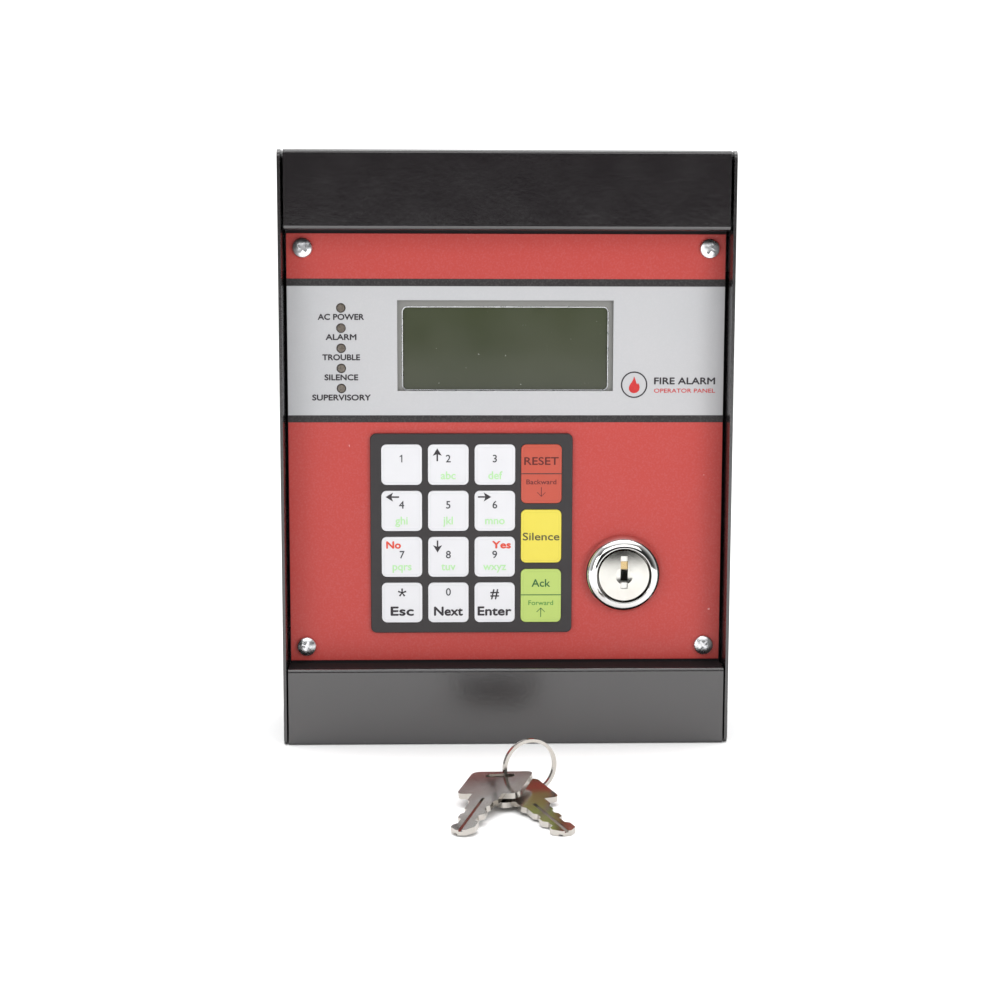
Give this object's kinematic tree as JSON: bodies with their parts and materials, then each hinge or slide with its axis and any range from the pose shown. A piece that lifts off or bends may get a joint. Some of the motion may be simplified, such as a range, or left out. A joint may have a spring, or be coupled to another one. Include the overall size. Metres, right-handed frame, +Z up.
{
  "type": "fire alarm control panel",
  "caption": "Surface-mounted fire alarm operator panel: folded steel case with recessed red and grey face, display, keypad, lamps and key switch, with its loose keys.",
  "frame": {"origin": "centre of the four wall-fixing holes, on the back plane of the case", "axes": "+X right as seen from the front, +Y into the wall, +Z up; the front faces -Y"},
  "size_m": [0.178, 0.1838, 0.235],
  "materials": {
    "case_paint": "fine satin powder coat",
    "box_paint": "fine satin powder coat",
    "zinc": "bright zinc plate",
    "overlay_print": "fine-grained printed film, red with a grey band",
    "bezel_black": "satin black",
    "display_glass": "polished, dark green",
    "white_plastic": "smooth",
    "circuit_board": "solder mask",
    "keypad_black": "satin",
    "key_white": "satin film",
    "key_orange": "satin film",
    "key_yellow": "satin film",
    "key_lime": "satin film",
    "dome_steel": "plain",
    "flex_film": "amber film",
    "lamp_resin": "smoked resin",
    "black_plastic": "moulded",
    "terminal_green": "moulded",
    "ribbon_grey": "cable sheath",
    "switch_chrome": "polished",
    "switch_metal": "turned",
    "wafer_brass": "stamped",
    "wire_sheath": "insulation",
    "key_nickel": "nickel plate"
  },
  "bodies": {
    "case": {"back_box": "box_paint", "cover_brackets": "zinc", "clinch_nuts": "zinc", "ground_stud": "wafer_brass", "ground_nuts": "wafer_brass", "front_cover": "case_paint", "board_studs": "zinc", "graphic_overlay": "overlay_print", "cover_screws": "zinc", "display_bezel": "bezel_black", "display_glass": "display_glass", "display_backlight": "white_plastic", "display_board": "circuit_board", "display_spacers": "white_plastic", "display_nuts": "zinc", "keypad_backing": "keypad_black", "keypad_frame": "keypad_black", "keypad_domes": "dome_steel", "keypad_tail": "flex_film", "status_lamps": "lamp_resin", "lamp_sleeves": "black_plastic", "main_board": "circuit_board", "board_standoffs": "zinc", "board_nuts": "zinc", "chips": "black_plastic", "terminal_blocks": "terminal_green", "terminal_screws": "zinc", "header_connectors": "white_plastic", "display_ribbon": "ribbon_grey", "sounder": "black_plastic", "switch_collar": "switch_chrome", "switch_barrel": "switch_metal", "switch_nut": "zinc", "switch_contact_block": "black_plastic", "switch_tags": "wafer_brass", "switch_wires": "wire_sheath"},
    "key_switch_plug": {"switch_plug": "switch_chrome", "switch_wafers": "wafer_brass", "switch_shutter": "white_plastic", "switch_cam": "switch_metal", "switch_cam_clip": "zinc"},
    "operating_keys": {"operating_key_lower": "key_nickel", "operating_key_upper": "key_nickel", "key_ring": "key_nickel"},
    "key_1_pad": {"key_1": "key_white"},
    "key_2_pad": {"key_2": "key_white"},
    "key_3_pad": {"key_3": "key_white"},
    "key_4_pad": {"key_4": "key_white"},
    "key_5_pad": {"key_5": "key_white"},
    "key_6_pad": {"key_6": "key_white"},
    "key_7_pad": {"key_7": "key_white"},
    "key_8_pad": {"key_8": "key_white"},
    "key_9_pad": {"key_9": "key_white"},
    "key_star_pad": {"key_star": "key_white"},
    "key_0_pad": {"key_0": "key_white"},
    "key_hash_pad": {"key_hash": "key_white"},
    "key_reset_pad": {"key_reset": "key_orange"},
    "key_silence_pad": {"key_silence": "key_yellow"},
    "key_acknowledge_pad": {"key_acknowledge": "key_lime"}
  },
  "joints": [
    {"name": "key_switch_turn", "type": "hinge", "parent": "case", "child": "key_switch_plug", "pos_m": [0.0473, -0.045, -0.05015], "axis": [0, 1, 0], "range_deg": [0, 90]},
    {"name": "key_1_press", "type": "slide", "parent": "case", "child": "key_1_pad", "axis": [0, 1, 0], "range_m": [0, 0.0004], "stiffness_N_per_m": 1200},
    {"name": "key_2_press", "type": "slide", "parent": "case", "child": "key_2_pad", "axis": [0, 1, 0], "range_m": [0, 0.0004], "stiffness_N_per_m": 1200},
    {"name": "key_3_press", "type": "slide", "parent": "case", "child": "key_3_pad", "axis": [0, 1, 0], "range_m": [0, 0.0004], "stiffness_N_per_m": 1200},
    {"name": "key_4_press", "type": "slide", "parent": "case", "child": "key_4_pad", "axis": [0, 1, 0], "range_m": [0, 0.0004], "stiffness_N_per_m": 1200},
    {"name": "key_5_press", "type": "slide", "parent": "case", "child": "key_5_pad", "axis": [0, 1, 0], "range_m": [0, 0.0004], "stiffness_N_per_m": 1200},
    {"name": "key_6_press", "type": "slide", "parent": "case", "child": "key_6_pad", "axis": [0, 1, 0], "range_m": [0, 0.0004], "stiffness_N_per_m": 1200},
    {"name": "key_7_press", "type": "slide", "parent": "case", "child": "key_7_pad", "axis": [0, 1, 0], "range_m": [0, 0.0004], "stiffness_N_per_m": 1200},
    {"name": "key_8_press", "type": "slide", "parent": "case", "child": "key_8_pad", "axis": [0, 1, 0], "range_m": [0, 0.0004], "stiffness_N_per_m": 1200},
    {"name": "key_9_press", "type": "slide", "parent": "case", "child": "key_9_pad", "axis": [0, 1, 0], "range_m": [0, 0.0004], "stiffness_N_per_m": 1200},
    {"name": "key_star_press", "type": "slide", "parent": "case", "child": "key_star_pad", "axis": [0, 1, 0], "range_m": [0, 0.0004], "stiffness_N_per_m": 1200},
    {"name": "key_0_press", "type": "slide", "parent": "case", "child": "key_0_pad", "axis": [0, 1, 0], "range_m": [0, 0.0004], "stiffness_N_per_m": 1200},
    {"name": "key_hash_press", "type": "slide", "parent": "case", "child": "key_hash_pad", "axis": [0, 1, 0], "range_m": [0, 0.0004], "stiffness_N_per_m": 1200},
    {"name": "key_reset_press", "type": "slide", "parent": "case", "child": "key_reset_pad", "axis": [0, 1, 0], "range_m": [0, 0.0004], "stiffness_N_per_m": 1200},
    {"name": "key_silence_press", "type": "slide", "parent": "case", "child": "key_silence_pad", "axis": [0, 1, 0], "range_m": [0, 0.0004], "stiffness_N_per_m": 1200},
    {"name": "key_acknowledge_press", "type": "slide", "parent": "case", "child": "key_acknowledge_pad", "axis": [0, 1, 0], "range_m": [0, 0.0004], "stiffness_N_per_m": 1200},
    {"name": "operating_keys_lift", "type": "slide", "parent": "case", "child": "operating_keys", "axis": [0, 0, 1], "range_m": [0, 0.12]}
  ]
}
